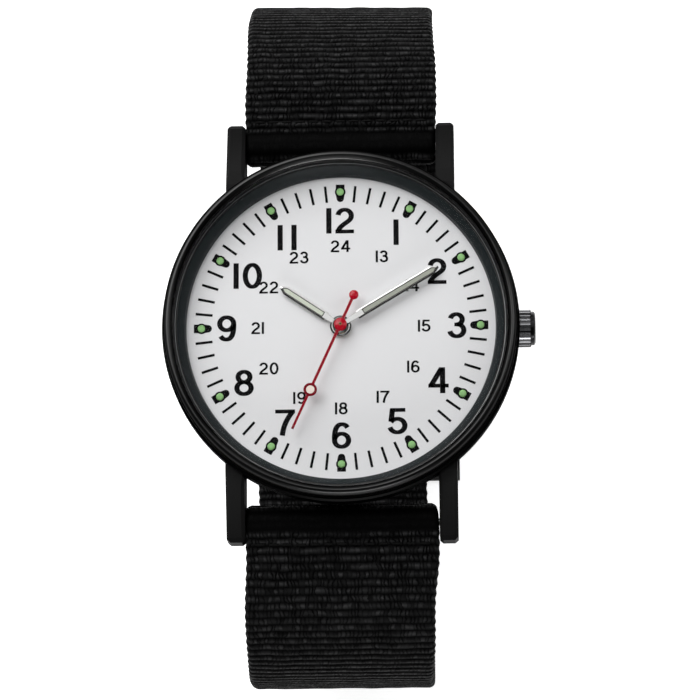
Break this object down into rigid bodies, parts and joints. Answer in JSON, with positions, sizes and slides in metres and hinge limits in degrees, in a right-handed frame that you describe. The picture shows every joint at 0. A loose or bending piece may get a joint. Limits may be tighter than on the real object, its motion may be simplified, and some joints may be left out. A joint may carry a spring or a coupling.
{
  "type": "wristwatch",
  "caption": "Round three-hand quartz wristwatch with a white numbered dial, black coated case and black nylon strap closed in a loop by a tongue buckle.",
  "frame": {"origin": "centre of the case back's outer flat face, on the axis of the hands", "axes": "+Z out through the glass, +Y towards 12 o'clock, +X towards the crown at 3 o'clock"},
  "size_m": [0.0393, 0.0773, 0.0578],
  "materials": {
    "black_coating": "fine satin black coating on steel",
    "buckle_coating": "satin black coating on steel",
    "mineral_glass": "clear polished mineral glass",
    "seal_rubber": "matte black rubber",
    "rehaut_paint": "matte slate grey",
    "brushed_back": "circular brushed stainless steel",
    "dial_paint": "matte white with printed numbers",
    "green_lume": "matte green glowing paint",
    "hand_steel": "bevelled steel",
    "hand_lume": "matte pale glowing paint",
    "red_paint": "gloss red lacquer",
    "cream_lume": "matte cream glowing paint",
    "plain_steel": "turned stainless steel",
    "holder_plastic": "moulded white plastic",
    "plate_plastic": "moulded dark plastic",
    "gear_brass": "cut brass",
    "board_resin": "green resin board with a black cap",
    "motor_iron": "soft magnetic iron",
    "copper_wire": "enamelled copper wire, wound",
    "nylon_webbing": "black ribbed nylon webbing"
  },
  "bodies": {
    "watch": {"case_middle": "black_coating", "bezel": "black_coating", "crystal": "mineral_glass", "crystal_gasket": "seal_rubber", "rehaut_ring": "rehaut_paint", "case_back": "brushed_back", "case_back_gasket": "seal_rubber", "dial": "dial_paint", "dial_lume_dots": "green_lume", "crown_tube": "plain_steel", "movement_holder": "holder_plastic", "main_plate": "plate_plastic", "train_bridge": "gear_brass", "movement_screws": "plain_steel", "battery": "plain_steel", "battery_clamp": "gear_brass", "circuit_board": "board_resin", "control_chip": "board_resin", "quartz_can": "plain_steel", "coil_core": "motor_iron", "coil_winding": "copper_wire", "stator": "motor_iron", "strap_upper": "nylon_webbing", "strap_lower": "nylon_webbing", "spring_bar_tubes": "plain_steel", "spring_bar_springs": "plain_steel", "buckle_frame": "buckle_coating", "buckle_bar": "plain_steel", "fixed_keeper": "nylon_webbing"},
    "seconds_train": {"fourth_wheel": "gear_brass", "second_hand": "red_paint", "second_hand_lume": "cream_lume"},
    "fifth_train": {"fifth_wheel": "gear_brass"},
    "rotor_train": {"rotor": "motor_iron"},
    "third_train": {"third_wheel": "gear_brass"},
    "minutes_train": {"centre_wheel": "gear_brass", "minute_hand": "hand_steel", "minute_hand_lume": "hand_lume"},
    "minute_wheel_train": {"minute_wheel": "gear_brass"},
    "hours_train": {"hour_wheel": "gear_brass", "hour_hand": "hand_steel", "hour_hand_lume": "hand_lume"},
    "setting_train": {"setting_wheel": "gear_brass"},
    "clutch": {"clutch_wheel": "plain_steel"},
    "crown_set": {"crown": "black_coating", "stem": "plain_steel", "crown_gasket": "seal_rubber"},
    "lever_set": {"setting_lever": "plain_steel"},
    "yoke_set": {"yoke": "plain_steel"},
    "tongue": {"buckle_tongue": "buckle_coating"},
    "loose_keeper": {"sliding_keeper": "nylon_webbing"},
    "pin_upper_left": {"spring_pin_upper_left": "plain_steel"},
    "pin_upper_right": {"spring_pin_upper_right": "plain_steel"},
    "pin_lower_left": {"spring_pin_lower_left": "plain_steel"},
    "pin_lower_right": {"spring_pin_lower_right": "plain_steel"}
  },
  "joints": [
    {"name": "second_turn", "type": "hinge", "parent": "watch", "child": "seconds_train", "pos_m": [0, 0, 0.002], "axis": [0, 0, -1], "continuous": true},
    {"name": "fifth_turn", "type": "hinge", "parent": "watch", "child": "fifth_train", "pos_m": [0.00082, -0.00304, 0.002], "axis": [0, 0, -1], "continuous": true},
    {"name": "rotor_turn", "type": "hinge", "parent": "watch", "child": "rotor_train", "pos_m": [0.00038, -0.00552, 0.002], "axis": [0, 0, -1], "continuous": true},
    {"name": "third_turn", "type": "hinge", "parent": "watch", "child": "third_train", "pos_m": [-0.00301, 0.00053, 0.0025], "axis": [0, 0, -1], "continuous": true},
    {"name": "minute_turn", "type": "hinge", "parent": "watch", "child": "minutes_train", "pos_m": [0, 0, 0.004], "axis": [0, 0, -1], "continuous": true},
    {"name": "minute_wheel_turn", "type": "hinge", "parent": "watch", "child": "minute_wheel_train", "pos_m": [0.00248, 0.0009, 0.0045], "axis": [0, 0, -1], "continuous": true},
    {"name": "hour_turn", "type": "hinge", "parent": "watch", "child": "hours_train", "pos_m": [0, 0, 0.005], "axis": [0, 0, -1], "continuous": true},
    {"name": "setting_turn", "type": "hinge", "parent": "watch", "child": "setting_train", "pos_m": [0.00554, 0.00055, 0.0045], "axis": [0, 0, -1], "continuous": true},
    {"name": "crown_turn", "type": "hinge", "parent": "watch", "child": "clutch", "pos_m": [0.008, 0, 0.0034], "axis": [1, 0, 0], "continuous": true},
    {"name": "crown_pull", "type": "slide", "parent": "clutch", "child": "crown_set", "axis": [1, 0, 0], "range_m": [0, 0.0009]},
    {"name": "lever_swing", "type": "hinge", "parent": "watch", "child": "lever_set", "pos_m": [0.0102, 0.00252, 0.0023], "axis": [0, 0, 1], "range_deg": [0, 24.76]},
    {"name": "yoke_swing", "type": "hinge", "parent": "watch", "child": "yoke_set", "pos_m": [0.0094, -0.003, 0.00265], "axis": [0, 0, 1], "range_deg": [0, 2.4]},
    {"name": "tongue_hinge", "type": "hinge", "parent": "watch", "child": "tongue", "pos_m": [0, 0.007, -0.04412], "axis": [1, 0, 0], "range_deg": [0, 4]},
    {"name": "keeper_slide", "type": "slide", "parent": "watch", "child": "loose_keeper", "axis": [0, 1, 0], "range_m": [0, 0.0035]},
    {"name": "pin_upper_left_press", "type": "slide", "parent": "watch", "child": "pin_upper_left", "axis": [1, 0, 0], "range_m": [0, 0.001], "stiffness_N_per_m": 500, "springref_m": -0.001, "deforming": ["spring_bar_springs"]},
    {"name": "pin_lower_left_press", "type": "slide", "parent": "watch", "child": "pin_lower_left", "axis": [1, 0, 0], "range_m": [0, 0.001], "stiffness_N_per_m": 500, "springref_m": -0.001, "deforming": ["spring_bar_springs"]},
    {"name": "pin_upper_right_press", "type": "slide", "parent": "watch", "child": "pin_upper_right", "axis": [-1, 0, 0], "range_m": [0, 0.001], "stiffness_N_per_m": 500, "springref_m": -0.001, "deforming": ["spring_bar_springs"]},
    {"name": "pin_lower_right_press", "type": "slide", "parent": "watch", "child": "pin_lower_right", "axis": [-1, 0, 0], "range_m": [0, 0.001], "stiffness_N_per_m": 500, "springref_m": -0.001, "deforming": ["spring_bar_springs"]}
  ],
  "couplings": [
    {"joint": "fifth_turn", "follows": "second_turn", "ratio": -5},
    {"joint": "rotor_turn", "follows": "second_turn", "ratio": 30},
    {"joint": "third_turn", "follows": "second_turn", "ratio": -0.13333},
    {"joint": "minute_turn", "follows": "second_turn", "ratio": 0.016667},
    {"joint": "minute_wheel_turn", "follows": "second_turn", "ratio": -0.0055556},
    {"joint": "hour_turn", "follows": "second_turn", "ratio": 0.0013889},
    {"joint": "setting_turn", "follows": "second_turn", "ratio": 0.01},
    {"joint": "lever_swing", "follows": "crown_pull", "rad_per_m": 479.91},
    {"joint": "yoke_swing", "follows": "crown_pull", "rad_per_m": 45.572}
  ]
}
